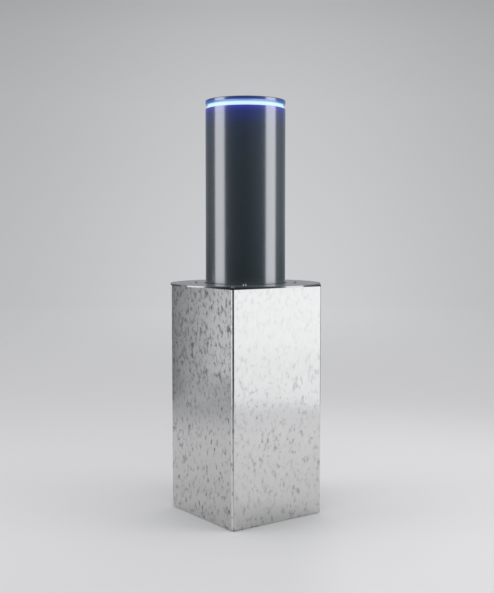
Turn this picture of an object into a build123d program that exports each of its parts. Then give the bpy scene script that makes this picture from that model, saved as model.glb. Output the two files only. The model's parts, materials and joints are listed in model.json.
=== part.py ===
from build123d import *
import os
from math import atan2, cos, degrees, radians, sin, sqrt

# Rising bollard with its square pit casing, stored raised.
# The casing is shown out of the ground, standing on its closed bottom.
# Millimetres, +Z up. The origin is at the centre of the casing's underside.
# A hydraulic ram on the casing's bottom lifts the tube by its head plate.
# The tube slides in a bush under the cover flange and on four guide rods.

# Travel and the lengths that the casing's height is made of
stroke = 620.0              # how far the tube sinks
guide_overlap = 92.0        # tube left inside the casing when it is raised
carriage_height = 30.0
floor_clearance = 35.0      # between the base plate and the lowered carriage
crown_proud = 3.0           # how far the cap stands out when it is lowered

# Tube and crown
tube_diameter = 275.0
tube_wall = 6.0
light_height = 14.5
light_recess = 7.0          # how far the light ring sits inside the tube's surface
light_wall = 6.7
strip_thickness = 1.6
cap_height = 15.0
cap_bevel_height = 4.5
cap_bevel_width = 3.0
cap_edge_radius = 3.0
cap_skin = 7.0              # cap's thickness over its hollow underside
hub_spigot = 12.5           # length of the crown hub inside the tube
hub_width = 22.0            # radial width of the crown hub's neck
strip_edge = 2.0            # light ring's height left free above and below the lamps
tube_edge = 0.8             # chamfer at the tube's ends
head_windows = 6            # round openings in the tube's head plate

# Casing and what closes it
guide_space = 46.5          # clear width between tube and casing wall
casing_sheet = 3.0
casing_bend = 6.0           # outside radius of the folds
base_thickness = 10.0
head_thickness = 12.0
frame_thickness = 5.0
flange_thickness = 6.0
flange_bevel = 1.0
rim_setback = 2.5           # from the casing's rounded corner in to the flange's rim
ledge_leg = 60.0
ledge_thickness = 10.0

# Guides
guide_rod_diameter = 20.0
rod_bush_wall = 4.0
rod_bush_collar = 2.0
lug_wall = 4.0              # metal around a rod bush
boss_height = 14.0
boss_wall = 8.0
boss_edge = 2.0             # chamfer on the sockets of rods and ram
rod_setback = 1.0           # from the casing's mouth down to a guide rod's end
bush_wall = 8.0
bush_length = 30.0
bush_collar = 4.0
bush_lead = 2.0             # taper at the bush's lower end
seal_width = 5.0
seal_proud = 1.2
seal_lip = 1.5              # wiper lip's thickness
foot_ring_height = 15.0
foot_ring_width = 15.0
carriage_width = 25.0
carriage_skin = 5.0         # what the hollow casting leaves at its edges
carriage_boss_wall = 3.0    # metal around a carriage screw's recess
carriage_screw_turn = 22.5
web_spread = 1.3            # lug's width at its root, as a share of its width at the rod
buffer_radius = 12.0
buffer_waist = 10.0

# Ram
ram_bore = 50.0
barrel_wall = 7.0
ram_rod_diameter = 30.0
rod_stud_diameter = 20.0
rod_nut_height = 10.0
tube_head_thickness = 10.0
piston_height = 28.0
piston_rest = 2.0           # oil left under the lowered piston
barrel_end = 37.0           # solid lower end of the barrel
gland_thread = 14.0
gland_collar = 22.0
gland_slot = 8.0
barrel_edge = 2.0
port_height = 24.0          # ram's oil port above the base plate
pin_diameter = 8.0
pin_end = 3.0               # how far the pin stands out of the ram's socket
pin_head_edge = 2.5
stud_end = 2.0              # stud left over above the rod's nut
groove_height = 4.0
groove_depth = 3.0
scraper_proud = 1.5

# Hydraulic unit
unit_radius = 44.0
unit_gap = 5.0              # between the unit and the casing's walls
foot_thickness = 6.0
foot_corner = 8.0
tank_height = 200.0
tank_wall = 3.0
tank_bend = 8.0
tank_rim = 8.0              # height of the tank's flared rim
block_height = 50.0
block_side = 76.0
block_corner = 4.0
port_depth = 20.0
motor_height = 180.0
motor_inset = 4.0           # motor's body in from the unit's radius
motor_shoulder = 20.0       # plain length below the cooling rings
motor_end = 40.0            # plain length above them
motor_ring_pitch = 12.0
motor_ring_proud = 3.0
motor_dome = 14.0
pipe_diameter = 8.0
pipe_reach = 35.0           # from the block in to the pipe's upright run
pipe_bend = 20.0            # pipe's bending radius
union_flats = 16.0
union_hexagon = 14.0
union_length = 20.0
union_wall = 2.5
union_standoff = 1.0        # from the barrel's round side out to its union
relief_flats = 14.0
relief_hexagon = 10.0
relief_length = 18.0
relief_radius = 5.0
knob_radius = 11.0
knob_length = 14.0
knob_stem_radius = 4.0
knob_stem_length = 14.0
knob_standoff = 6.0
knob_hollows = 6

# Electrical parts
box_side = 76.0
box_height = 140.0
box_level = 480.0           # underside of the junction box
box_lid_thickness = 6.0
box_lid_edge = 1.5
box_wall = 3.0
box_corner = 6.0
box_gap = 3.0               # height of the box's feet, out to the casing's wall
box_foot_radius = 5.0
box_post_radius = 6.0
box_screw_radius = 1.5
box_screw_head = 3.0
box_screw_length = 12.0
box_screw_inset = 8.0
box_gland_radius = 8.0
box_gland_flats = 22.0
box_gland_hexagon = 8.0
box_gland_length = 22.0
box_gland_round = 9.0       # radius of a box gland's closed lower end
gland_drop = 50.0           # from the junction box down to the conduit entry
gland_radius = 12.5
gland_wall = 3.0
gland_flats = 34.0
gland_hexagon = 8.0
gland_length = 24.0
gland_inside = 12.0         # gland's thread inside the casing
locknut_flats = 32.0
locknut_height = 6.0
plug_head = 4.0
sensor_radius = 6.0
sensor_length = 50.0
sensor_gap = 3.0
sensor_tip = 4.0
sensor_tail = 6.0
sensor_nut_flats = 17.0
sensor_nut_height = 4.0
ear_start = 25.0            # from a sensor's tip to its bracket
ear_half = 14.0
bracket_thickness = 3.0

# Openings in the bottom
drain_radius = 30.0
drain_inset = 74.0          # from the casing's walls in to the drain's centre
strainer_edge = 4.0
strainer_thickness = 2.5
strainer_hole = 3.0
anchor_radius = 7.0
anchor_inset = 34.0         # from the casing's wall in to the anchors, along X
anchor_spacing = 120.0      # along Y

# Screws
screw_radius = 3.0
screw_head_radius = 6.0
screw_key = 4.0
head_land = 0.4             # straight edge of a countersunk head
button_radius = 6.8         # domed heads of the flange's and the corners' screws
button_height = 3.3
button_rim = 0.8            # straight rim under the dome
cap_head_radius = 5.0
cap_head_key = 5.0
screw_end = 2.0             # what a screw leaves of its tapped hole
flange_screw_circle = 348.0
flange_screw_turn = 53.0    # from +X; the flange is fitted a little off the casing's diagonal
corner_screw_inset = 9.0
notch_radius = 8.0          # half-round clearance in the flange's rim over a corner screw
thread_depth = 20.0

# Clearances
fit_gap = 0.05              # turned parts that fit each other
running_gap = 0.3           # soft guides and seals around the tube
sheet_gap = 0.3             # plates inside the folded casing
edge_break = 1.0            # small chamfer on machined edges
cut_over = 1.0              # how far a cut runs past the face that it opens

# Levels
base_top = casing_sheet + base_thickness
carriage_low = base_top + floor_clearance
carriage_bottom = carriage_low + stroke
tube_bottom = carriage_bottom + carriage_height
casing_height = tube_bottom + guide_overlap
frame_top = casing_height + frame_thickness
flange_top = frame_top + flange_thickness
crown_height = light_height + cap_height
tube_top = flange_top + stroke + crown_proud - crown_height
light_top = tube_top + light_height
cap_top = light_top + cap_height
hub_bottom = tube_top - hub_spigot
tube_head_bottom = hub_bottom - tube_head_thickness
head_bottom = casing_height - head_thickness
port_level = base_top + port_height
barrel_floor = base_top + barrel_end
piston_bottom = barrel_floor + piston_rest + stroke
piston_top = piston_bottom + piston_height
piston_stud_low = piston_bottom + piston_height / 4
barrel_top = piston_top + piston_rest + gland_thread
gland_top = barrel_top + gland_collar
hub_screw_seat = tube_top + screw_radius
carriage_screw_seat = carriage_bottom + 2 * screw_radius + edge_break
tank_bottom = base_top + foot_thickness
block_bottom = tank_bottom + tank_height
motor_bottom = block_bottom + block_height
block_middle = (block_bottom + motor_bottom) / 2
gland_level = box_level - gland_drop

# Radii and distances from the centre
tube_radius = tube_diameter / 2
tube_bore = tube_radius - tube_wall
light_radius = tube_radius - light_recess
light_bore = light_radius - light_wall
strip_bore = light_bore - fit_gap - strip_thickness
neck_radius = strip_bore - fit_gap
hub_bore = neck_radius - hub_width
hub_screw_circle = neck_radius - hub_width / 2
inner_half = tube_radius + guide_space
casing_half = inner_half + casing_sheet
casing_side = 2 * casing_half
inner_bend = casing_bend - casing_sheet
corner_reach = (casing_half - casing_bend) * sqrt(2) + casing_bend
flange_radius = corner_reach - rim_setback
corner_screw_place = casing_half - corner_screw_inset
bush_bore = tube_radius + running_gap
bush_radius = bush_bore + bush_wall
seal_radius = bush_bore + seal_width
guide_rod_radius = guide_rod_diameter / 2
guide_place = tube_radius + guide_space / 2
rod_bush_bore = guide_rod_radius + fit_gap
rod_bush_radius = rod_bush_bore + rod_bush_wall
lug_radius = rod_bush_radius + fit_gap + lug_wall
foot_ring_radius = tube_bore - fit_gap
foot_ring_bore = foot_ring_radius - foot_ring_width
carriage_radius = tube_radius - running_gap
carriage_bore = carriage_radius - carriage_width
carriage_screw_circle = foot_ring_radius - foot_ring_width / 2
barrel_bore = ram_bore / 2
barrel_radius = barrel_bore + barrel_wall
ram_rod_radius = ram_rod_diameter / 2
rod_stud_radius = rod_stud_diameter / 2
pin_radius = pin_diameter / 2
pipe_radius = pipe_diameter / 2
unit_place = inner_half - unit_gap - unit_radius
block_face = unit_place - block_side / 2
port_place = unit_place + block_side / 5
pipe_place = block_face - pipe_reach
motor_radius = unit_radius - motor_inset
box_place = inner_half - box_gap - box_side / 2
drain_place = inner_half - drain_inset
anchor_place_x = inner_half - anchor_inset
anchor_place_y = anchor_spacing / 2
port_turn = degrees(atan2(port_place, pipe_place))


def turned(points):
    """Solid turned about the Z axis from an outline of radius and height."""
    outline = make_face(Polyline(*points, close=True))
    return revolve(Plane.XZ * outline, Axis.Z)


def ring(outer, inner, low, high):
    """Plain ring about the Z axis."""
    return Pos(0, 0, low) * extrude(Circle(outer) - Circle(inner), amount=high - low)


def disc(radius, low, high):
    """Plain round plate or pin about the Z axis."""
    return Pos(0, 0, low) * extrude(Circle(radius), amount=high - low)


def square_plate(side, corner, low, high):
    """Square plate with rounded corners, centred on the Z axis."""
    outline = RectangleRounded(side, side, corner)
    return Pos(0, 0, low) * extrude(outline, amount=high - low)


def hexagon(across_flats, low, high):
    """Hexagonal prism about the Z axis."""
    outline = RegularPolygon(across_flats / 2, 6, major_radius=False)
    return Pos(0, 0, low) * extrude(outline, amount=high - low)


def circle_places(count, radius, start):
    """Points evenly spaced on a circle, from a start angle in degrees."""
    turns = [radians(start + 360 * i / count) for i in range(count)]
    return [(radius * cos(turn), radius * sin(turn)) for turn in turns]


def corner_places(distance):
    """Four points on the diagonals, each this far from both middle planes."""
    return [(x, y) for x in (-distance, distance) for y in (-distance, distance)]


def side_places(distance):
    """Four points on the X and Y axes."""
    return circle_places(4, distance, 0)


def copies(shape, places, level=0.0):
    """The same solid at each place, all with their zero height at one level."""
    return [Pos(x, y, level) * shape for x, y in places]


def countersunk_screw(length):
    """Socket screw with a flush head, head face at zero height."""
    cone = screw_head_radius - screw_radius
    body = turned(
        [
            (0, 0),
            (screw_head_radius, 0),
            (screw_head_radius, -head_land),
            (screw_radius, -head_land - cone),
            (screw_radius, -length),
            (0, -length),
        ]
    )
    return body - hexagon(screw_key, -screw_key / 2, cut_over)


def countersunk_hole(length):
    """What is cut for such a screw, a little larger all over."""
    cone = screw_head_radius - screw_radius
    hole = screw_radius + fit_gap
    head = screw_head_radius + fit_gap
    return turned(
        [
            (0, cut_over),
            (head, cut_over),
            (head, -head_land),
            (hole, -head_land - cone),
            (hole, -length),
            (0, -length),
        ]
    )


def button_screw(length):
    """Socket screw with a domed head, under-head face at zero height."""
    dome = button_height - button_rim
    ball = (button_radius**2 + dome**2) / (2 * dome)
    head = Pos(0, 0, button_height - ball) * Sphere(ball) & disc(button_radius, 0, button_height)
    head -= hexagon(screw_key, button_height / 3, button_height + cut_over)
    return head + disc(screw_radius, -length, 0)


def cap_screw(length):
    """Socket screw with a round head, under-head face at zero height."""
    height = 2 * screw_radius
    head = disc(cap_head_radius, 0, height) - hexagon(cap_head_key, height / 2, height + cut_over)
    return head + disc(screw_radius, -length, 0)


def save(shape, name):
    """Write one sub-part, which may be a group of like solids."""
    if isinstance(shape, list):
        shape = Compound(children=shape)
    export_step(shape, "parts/" + name + ".step")


# Casing

def casing():
    """Folded sheet box, open at the top, with rounded folds."""
    outer = square_plate(casing_side, casing_bend, 0, casing_height)
    outer = fillet(outer.faces().sort_by(Axis.Z)[0].edges(), casing_bend)
    mouth = casing_height + cut_over
    inner = square_plate(2 * inner_half, inner_bend, casing_sheet, mouth)
    inner = fillet(inner.faces().sort_by(Axis.Z)[0].edges(), inner_bend)
    sheet = outer - inner
    sheet -= Pos(-drain_place, drain_place, 0) * disc(drain_radius, -cut_over, base_top)
    for hole in anchor_holes():
        sheet -= hole
    return sheet - conduit_frame() * disc(gland_radius + fit_gap, -2 * casing_sheet, cut_over)


def anchor_holes():
    """Holes for the anchors through sheet and base plate."""
    hole = disc(anchor_radius, -cut_over, base_top + cut_over)
    sides = (-1, 1)
    return [Pos(i * anchor_place_x, j * anchor_place_y, 0) * hole for i in sides for j in sides]


def base_plate():
    """Steel plate on the casing's bottom, with sockets for the rods and the ram."""
    side = 2 * (inner_half - sheet_gap)
    plate = square_plate(side, inner_bend, casing_sheet, base_top)
    edge = plate.faces().sort_by(Axis.Z)[0].edges()
    plate = chamfer(edge, inner_bend)
    boss_top = base_top + boss_height
    rod_boss = disc(guide_rod_radius + boss_wall, base_top, boss_top)
    rod_boss = chamfer(rod_boss.faces().sort_by(Axis.Z)[-1].edges(), boss_edge)
    for x, y in side_places(guide_place):
        plate += Pos(x, y, 0) * rod_boss
    ram_boss = disc(barrel_radius + boss_wall, base_top, boss_top)
    plate += chamfer(ram_boss.faces().sort_by(Axis.Z)[-1].edges(), boss_edge)
    plate -= disc(barrel_radius + fit_gap, base_top, boss_top + cut_over)
    rod_hole = disc(rod_bush_bore, casing_sheet - cut_over, boss_top + cut_over)
    for x, y in side_places(guide_place):
        plate -= Pos(x, y, 0) * rod_hole
    plate -= Pos(-drain_place, drain_place, 0) * disc(drain_radius, 0, base_top + cut_over)
    for hole in anchor_holes():
        plate -= hole
    return plate - cross_pin(pin_radius + fit_gap, cut_over)


def cross_pin(radius, extra):
    """Pin through the ram's socket, along Y."""
    half = barrel_radius + boss_wall + extra
    level = base_top + boss_height / 2
    return Pos(0, 0, level) * Rot(90, 0, 0) * disc(radius, -half, half)


def guide_rod():
    """One ground rod, from the casing's bottom up into the head plate."""
    rod = disc(guide_rod_radius, casing_sheet, casing_height - rod_setback)
    return chamfer(rod.faces().sort_by(Axis.Z)[-1].edges(), edge_break)


def corner_ledges():
    """Welded corner plates that the head plate rests on."""
    far = inner_half
    near = inner_half - ledge_leg
    cut = inner_half - inner_bend
    outline = make_face(Polyline((near, far), (cut, far), (far, cut), (far, near), close=True))
    low = head_bottom - ledge_thickness
    ledge = Pos(0, 0, low) * extrude(outline, amount=ledge_thickness)
    return [Rot(0, 0, 90 * i) * ledge for i in range(4)]


def head_plate():
    """Plate inside the casing's mouth that carries bush, rods and flange."""
    side = 2 * (inner_half - sheet_gap)
    plate = square_plate(side, inner_bend, head_bottom, casing_height)
    below = head_bottom - cut_over
    above = casing_height + cut_over
    plate -= disc(bush_radius + fit_gap, below, above)
    collar = bush_radius + bush_collar + fit_gap
    plate -= disc(collar, casing_height - bush_collar, above)
    for x, y in side_places(guide_place):
        plate -= Pos(x, y, 0) * disc(rod_bush_bore, below, above)
    tapped = disc(screw_radius + fit_gap, below, above)
    for place in flange_screw_places() + corner_places(corner_screw_place):
        plate -= Pos(*place, 0) * tapped
    return plate


def guide_bush():
    """Plastic bush with a collar, in the head plate's bore."""
    low = casing_height - bush_length
    collar_low = casing_height - bush_collar
    return turned(
        [
            (bush_bore + bush_lead, low),
            (bush_radius, low),
            (bush_radius, collar_low),
            (bush_radius + bush_collar, collar_low),
            (bush_radius + bush_collar, casing_height),
            (bush_bore, casing_height),
            (bush_bore, low + bush_lead),
        ]
    )


def flange_screw_places():
    """Four points on the flange's screw circle."""
    return circle_places(4, flange_screw_circle / 2, flange_screw_turn)


def top_frame():
    """Dark square frame that closes the casing's edge, screwed down at its corners."""
    plate = square_plate(casing_side, casing_bend, casing_height, frame_top)
    below = casing_height - cut_over
    above = frame_top + cut_over
    plate -= disc(seal_radius + fit_gap, below, above)
    for place in flange_screw_places() + corner_places(corner_screw_place):
        plate -= Pos(*place, 0) * disc(screw_radius + fit_gap, below, above)
    return plate


def cover_flange():
    """Round cover plate with a bevelled rim and clearance over the corner screws."""
    plate = disc(flange_radius, frame_top, flange_top)
    rim = plate.faces().sort_by(Axis.Z)[-1].edges()
    below = frame_top - cut_over
    above = flange_top + cut_over
    plate = chamfer(rim, flange_bevel)
    plate -= disc(seal_radius + fit_gap, below, above)
    for place in flange_screw_places():
        plate -= Pos(*place, 0) * disc(screw_radius + fit_gap, below, above)
    mouth = Pos(notch_radius, 0, (below + above) / 2)
    mouth *= Box(2 * notch_radius, 2 * notch_radius, above - below)
    cutter = disc(notch_radius, below, above) + mouth
    for i in range(4):
        reach = corner_screw_place * sqrt(2)
        plate -= Rot(0, 0, 45 + 90 * i) * Pos(reach, 0, 0) * cutter
    return plate


def wiper_seal():
    """Rubber wiper around the tube, its lip just above the flange."""
    return turned(
        [
            (bush_bore + seal_lip, casing_height),
            (seal_radius, casing_height),
            (seal_radius, flange_top),
            (bush_bore + seal_lip, flange_top + seal_proud),
            (bush_bore, flange_top + seal_proud),
            (bush_bore, frame_top),
        ]
    )


def flange_screws():
    """Domed screws through flange and frame into the head plate."""
    screw = button_screw(flange_top - head_bottom)
    return copies(screw, flange_screw_places(), flange_top)


def corner_screws():
    """Domed screws through the frame's corners into the head plate."""
    screw = button_screw(frame_top - head_bottom)
    return copies(screw, corner_places(corner_screw_place), frame_top)


# Ram

def ram_barrel():
    """Ram's barrel, closed below, with its oil port."""
    body = turned(
        [
            (0, base_top),
            (barrel_radius - barrel_edge, base_top),
            (barrel_radius, base_top + barrel_edge),
            (barrel_radius, barrel_top),
            (barrel_bore, barrel_top),
            (barrel_bore, barrel_floor),
            (0, barrel_floor),
        ]
    )
    body -= cross_pin(pin_radius + fit_gap, cut_over)
    port = Pos(0, 0, port_level) * Rot(0, 90, port_turn)
    body -= port * disc(pipe_radius, 0, barrel_radius + cut_over)
    return body - disc(pipe_radius, port_level, barrel_floor + cut_over)


def ram_pin():
    """Pin that holds the ram in its socket, with a head at one end."""
    place = Pos(0, -barrel_radius - boss_wall, base_top + boss_height / 2) * Rot(90, 0, 0)
    return cross_pin(pin_radius, pin_end) + place * disc(pin_radius + pin_head_edge, 0, pin_end)


def ram_gland():
    """Screwed gland at the top of the barrel, with spanner slots."""
    rod = ram_rod_radius + fit_gap
    body = turned(
        [
            (rod, barrel_top - gland_thread),
            (barrel_bore - fit_gap, barrel_top - gland_thread),
            (barrel_bore - fit_gap, barrel_top),
            (barrel_radius, barrel_top),
            (barrel_radius, gland_top - barrel_edge),
            (barrel_radius - barrel_edge, gland_top),
            (rod + barrel_wall, gland_top),
            (rod + barrel_wall, gland_top - barrel_wall),
            (rod, gland_top - barrel_wall),
        ]
    )
    slot = Pos(barrel_radius, 0, gland_top - gland_collar / 2)
    slot *= Box(gland_slot, gland_slot, gland_collar - gland_slot)
    for i in range(4):
        body -= Rot(0, 0, 90 * i) * slot
    return body


def rod_wiper():
    """Scraper ring in the gland."""
    inner = ram_rod_radius + fit_gap
    outer = inner + barrel_wall - fit_gap
    low = gland_top - barrel_wall
    top = gland_top + scraper_proud
    lip = inner + edge_break
    return turned([(inner, low), (outer, low), (outer, gland_top), (lip, top), (inner, top)])


def ram_rod():
    """Rod with a stud at each end, for the piston and for the tube's head."""
    stud_high = hub_bottom + rod_nut_height + stud_end
    return turned(
        [
            (0, piston_stud_low),
            (rod_stud_radius, piston_stud_low),
            (rod_stud_radius, piston_top),
            (ram_rod_radius, piston_top),
            (ram_rod_radius, tube_head_bottom),
            (rod_stud_radius, tube_head_bottom),
            (rod_stud_radius, stud_high - edge_break),
            (rod_stud_radius - edge_break, stud_high),
            (0, stud_high),
        ]
    )


def piston_groove_levels():
    """Undersides of the piston's two seal grooves, with equal lands between."""
    land = (piston_height - 2 * groove_height) / 3
    return [piston_bottom + land, piston_bottom + 2 * land + groove_height]


def ram_piston():
    """Piston screwed on the rod's lower stud, with two seal grooves."""
    outer = barrel_bore - fit_gap
    body = disc(outer, piston_bottom, piston_top)
    for level in piston_groove_levels():
        groove = ring(outer + cut_over, outer - groove_depth, level, level + groove_height)
        body -= groove
    return body - disc(rod_stud_radius + fit_gap, piston_stud_low, piston_top + cut_over)


def piston_seals():
    """Seal rings in the piston's grooves."""
    outer = barrel_bore - fit_gap
    inner = outer - groove_depth + fit_gap
    return [ring(outer, inner, level, level + groove_height) for level in piston_groove_levels()]


def rod_nut():
    """Nut on the rod's upper stud."""
    top = hub_bottom + rod_nut_height
    nut = hexagon(1.5 * rod_stud_diameter, hub_bottom, top)
    return nut - disc(rod_stud_radius + fit_gap, hub_bottom - cut_over, top + cut_over)


# Tube and crown

def bollard_tube():
    """The rising tube."""
    tube = ring(tube_radius, tube_bore, tube_bottom, tube_top)
    rims = tube.faces().sort_by(Axis.Z)[-1].edges() + tube.faces().sort_by(Axis.Z)[0].edges()
    return chamfer(rims, tube_edge)


def tube_head():
    """Plate welded in the tube, lifted by the ram's rod, with a ring of round windows."""
    below = tube_head_bottom - cut_over
    above = hub_bottom + cut_over
    plate = disc(tube_bore - fit_gap, tube_head_bottom, hub_bottom)
    plate -= disc(rod_stud_radius + fit_gap, below, above)
    window_circle = (rod_stud_radius + hub_bore) / 2
    for x, y in circle_places(head_windows, window_circle, 0):
        plate -= Pos(x, y, 0) * disc(window_circle / 4, below, above)
    tapped = disc(screw_radius + fit_gap, below, above)
    for x, y in hub_screw_places():
        plate -= Pos(x, y, 0) * tapped
    return plate


def hub_screw_places():
    """Four points on the hub's screw circle, on the X and Y axes."""
    return circle_places(4, hub_screw_circle, 0)


def cap_screw_places():
    """Four points on the same circle, between the hub's screws."""
    return circle_places(4, hub_screw_circle, 45)


def crown_hub():
    """Turned ring in the tube's mouth that carries light ring and cap."""
    spigot = tube_bore - fit_gap
    body = turned(
        [
            (hub_bore, hub_bottom),
            (spigot, hub_bottom),
            (spigot, tube_top),
            (neck_radius, tube_top),
            (neck_radius, light_top),
            (hub_bore, light_top),
        ]
    )
    hole = screw_radius + fit_gap
    above = light_top + cut_over
    through = disc(hole, hub_bottom - cut_over, above) + disc(screw_head_radius, hub_screw_seat, above)
    for x, y in hub_screw_places():
        body -= Pos(x, y, 0) * through
    for x, y in cap_screw_places():
        body -= Pos(x, y, 0) * disc(hole, tube_top - thread_depth / 2, above)
    return body


def light_strip():
    """Band of lamps wound round the hub's neck."""
    outer = light_bore - fit_gap
    return ring(outer, strip_bore, tube_top + strip_edge, light_top - strip_edge)


def light_ring():
    """Clear ring between tube and cap."""
    return ring(light_radius, light_bore, tube_top, light_top)


def cap():
    """Solid lid with a bevelled underside and a softened top edge."""
    skin_low = cap_top - cap_skin
    body = turned(
        [
            (0, skin_low),
            (hub_bore, skin_low),
            (hub_bore, light_top),
            (tube_radius - cap_bevel_width, light_top),
            (tube_radius, light_top + cap_bevel_height),
            (tube_radius, cap_top),
            (0, cap_top),
        ]
    )
    top_edge = body.faces().sort_by(Axis.Z)[-1].edges()
    body = fillet(top_edge, cap_edge_radius)
    for x, y in cap_screw_places():
        body -= Pos(x, y, cap_top) * countersunk_hole(cap_height + cut_over)
    return body


def cap_screws():
    """Flush screws that hold the cap on the hub."""
    return copies(countersunk_screw(cap_height + thread_depth / 2), cap_screw_places(), cap_top)


def hub_screws():
    """Screws that hold the hub on the tube's head plate."""
    screw = cap_screw(hub_screw_seat - tube_head_bottom - screw_end / 2)
    return copies(screw, hub_screw_places(), hub_screw_seat)


def foot_ring():
    """Ring welded in the tube's lower end, tapped for the carriage."""
    top = tube_bottom + foot_ring_height
    body = ring(foot_ring_radius, foot_ring_bore, tube_bottom, top)
    tapped = disc(screw_radius + fit_gap, tube_bottom - cut_over, top + cut_over)
    for x, y in carriage_screw_places():
        body -= Pos(x, y, 0) * tapped
    return body


def carriage_screw_places():
    """Eight points on the carriage's screw circle, two between each pair of lugs."""
    return circle_places(8, carriage_screw_circle, carriage_screw_turn)


def carriage():
    """Cast ring under the tube with four lugs that run on the guide rods."""
    root = carriage_radius - carriage_width / 2
    lug = Pos(guide_place, 0) * Circle(lug_radius)
    foot = Pos(root, 0) * Circle(web_spread * lug_radius)
    web = make_hull(lug.edges() + foot.edges())
    outline = Circle(carriage_radius)
    for i in range(4):
        outline += Rot(0, 0, 90 * i) * web
    outline -= Circle(carriage_bore)
    body = Pos(0, 0, carriage_bottom) * extrude(outline, amount=carriage_height)
    outer = carriage_radius - carriage_skin
    inner = carriage_bore + carriage_skin
    roof = tube_bottom - 2 * carriage_skin
    below = carriage_bottom - cut_over
    above = tube_bottom + cut_over
    hollow = ring(outer, inner, below, roof)
    boss = screw_head_radius + carriage_boss_wall
    for x, y in carriage_screw_places():
        hollow -= Pos(x, y, 0) * disc(boss, below, roof)
    stiff = Pos(root, 0, (below + roof) / 2) * Box(carriage_width, 2 * lug_radius, roof - below)
    for i in range(4):
        hollow -= Rot(0, 0, 90 * i) * stiff
    body -= hollow
    recess = disc(screw_head_radius, below, carriage_screw_seat)
    for x, y in carriage_screw_places():
        body -= Pos(x, y, 0) * (disc(screw_radius + fit_gap, below, above) + recess)
    for x, y in side_places(guide_place):
        body -= Pos(x, y, 0) * disc(rod_bush_radius + fit_gap, below, above)
    return body


def carriage_screws():
    """Screws from below through the carriage into the foot ring."""
    length = tube_bottom - carriage_screw_seat + foot_ring_height - screw_end
    screw = Rot(180, 0, 0) * cap_screw(length)
    return copies(screw, carriage_screw_places(), carriage_screw_seat)


def rod_bush():
    """Flanged plastic bush around one guide rod."""
    low = carriage_bottom - rod_bush_collar
    collar = rod_bush_radius + rod_bush_collar
    return turned(
        [
            (rod_bush_bore, low),
            (collar, low),
            (collar, carriage_bottom),
            (rod_bush_radius, carriage_bottom),
            (rod_bush_radius, tube_bottom),
            (rod_bush_bore, tube_bottom),
        ]
    )


def stop_buffers():
    """Rubber buffers that the lowered carriage lands on."""
    top = carriage_low - running_gap
    waist = base_top + (top - base_top) / 2
    buffer = turned(
        [
            (0, base_top),
            (buffer_radius, base_top),
            (buffer_waist, waist),
            (buffer_radius, top),
            (0, top),
        ]
    )
    return copies(buffer, circle_places(4, carriage_screw_circle, carriage_screw_turn))


# Hydraulic unit, in the corner at +X +Y

def at_unit(shape):
    """The shape moved from the centre to the unit's place."""
    return Pos(unit_place, unit_place, 0) * shape


def unit_foot():
    """Plate that the tank stands on."""
    return at_unit(square_plate(block_side, foot_corner, base_top, tank_bottom))


def oil_tank():
    """Round tank with a rounded lower edge and a flared rim."""
    outer = unit_radius - tank_wall
    inner = outer - tank_wall
    flare = block_bottom - tank_rim
    body = turned(
        [
            (0, tank_bottom),
            (outer, tank_bottom),
            (outer, flare),
            (unit_radius, flare + tank_wall),
            (unit_radius, block_bottom),
            (0, block_bottom),
        ]
    )
    body = fillet(body.edges().group_by(Axis.Z)[0], tank_bend)
    space = disc(inner, tank_bottom + tank_wall, block_bottom - tank_wall)
    space = fillet(space.edges().group_by(Axis.Z)[0], tank_bend - tank_wall)
    return at_unit(body - space)


def valve_block():
    """Aluminium block between tank and motor, cut back where the tube passes."""
    block = square_plate(block_side, block_corner, block_bottom, motor_bottom)
    clear = unit_place * sqrt(2) - bush_radius
    slab = Pos(-clear - block_side / 2, 0, block_middle)
    slab *= Box(block_side, 2 * block_side, 2 * block_height)
    block = at_unit(block - Rot(0, 0, 45) * slab)
    block -= knob_frame() * disc(knob_stem_radius + fit_gap, -knob_stem_length - edge_break, cut_over)
    port = Pos(block_face, port_place, block_middle) * Rot(0, -90, 0)
    return block - port * disc(pipe_radius, -port_depth, cut_over)


def knob_frame():
    """Place of the release knob: on the block's -Y face, Z pointing out."""
    return Pos(port_place, block_face, block_middle) * Rot(90, 0, 0)


def release_knob():
    """Hand knob of the lowering valve, with finger hollows all round."""
    low = knob_standoff
    high = knob_standoff + knob_length
    grip = disc(knob_radius, low, high)
    grip = chamfer(grip.faces().sort_by(Axis.Z)[-1].edges(), edge_break)
    hollow = disc(knob_radius / 3, low - cut_over, high + cut_over)
    for x, y in circle_places(knob_hollows, 1.15 * knob_radius, 0):
        grip -= Pos(x, y, 0) * hollow
    return knob_frame() * (grip + disc(knob_stem_radius, -knob_stem_length, low))


def pump_motor():
    """Motor with cooling rings and a rounded end."""
    top = motor_bottom + motor_height
    body = disc(motor_radius, motor_bottom, top)
    body = fillet(body.edges().group_by(Axis.Z)[-1], motor_dome)
    count = int((motor_height - motor_shoulder - motor_end) / motor_ring_pitch)
    for i in range(count):
        low = motor_bottom + motor_shoulder + i * motor_ring_pitch
        outer = motor_radius + motor_ring_proud
        body += ring(outer, motor_radius / 2, low, low + motor_ring_pitch / 2)
    return at_unit(body)


def relief_valve():
    """Hexagonal cartridge on the block's -X face."""
    level = motor_bottom - block_height / 4
    place = Pos(block_face, unit_place, level) * Rot(0, -90, 0)
    body = hexagon(relief_flats, 0, relief_hexagon)
    return place * (body + disc(relief_radius, relief_hexagon, relief_length))


def pipe_fitting():
    """Union at a pipe's end: hexagon and sleeve, starting at zero height."""
    body = hexagon(union_flats, 0, union_hexagon)
    body += disc(pipe_radius + union_wall, union_hexagon, union_length)
    return body - disc(pipe_radius + fit_gap, -cut_over, union_length + cut_over)


def fitting_places():
    """Frames of the two unions, each with Z pointing along its pipe."""
    upper = Pos(block_face, port_place, block_middle) * Rot(0, -90, 0)
    start = barrel_radius + union_standoff
    lower = Rot(0, 0, port_turn) * Pos(start, 0, port_level) * Rot(0, 90, 0)
    return upper, lower


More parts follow.
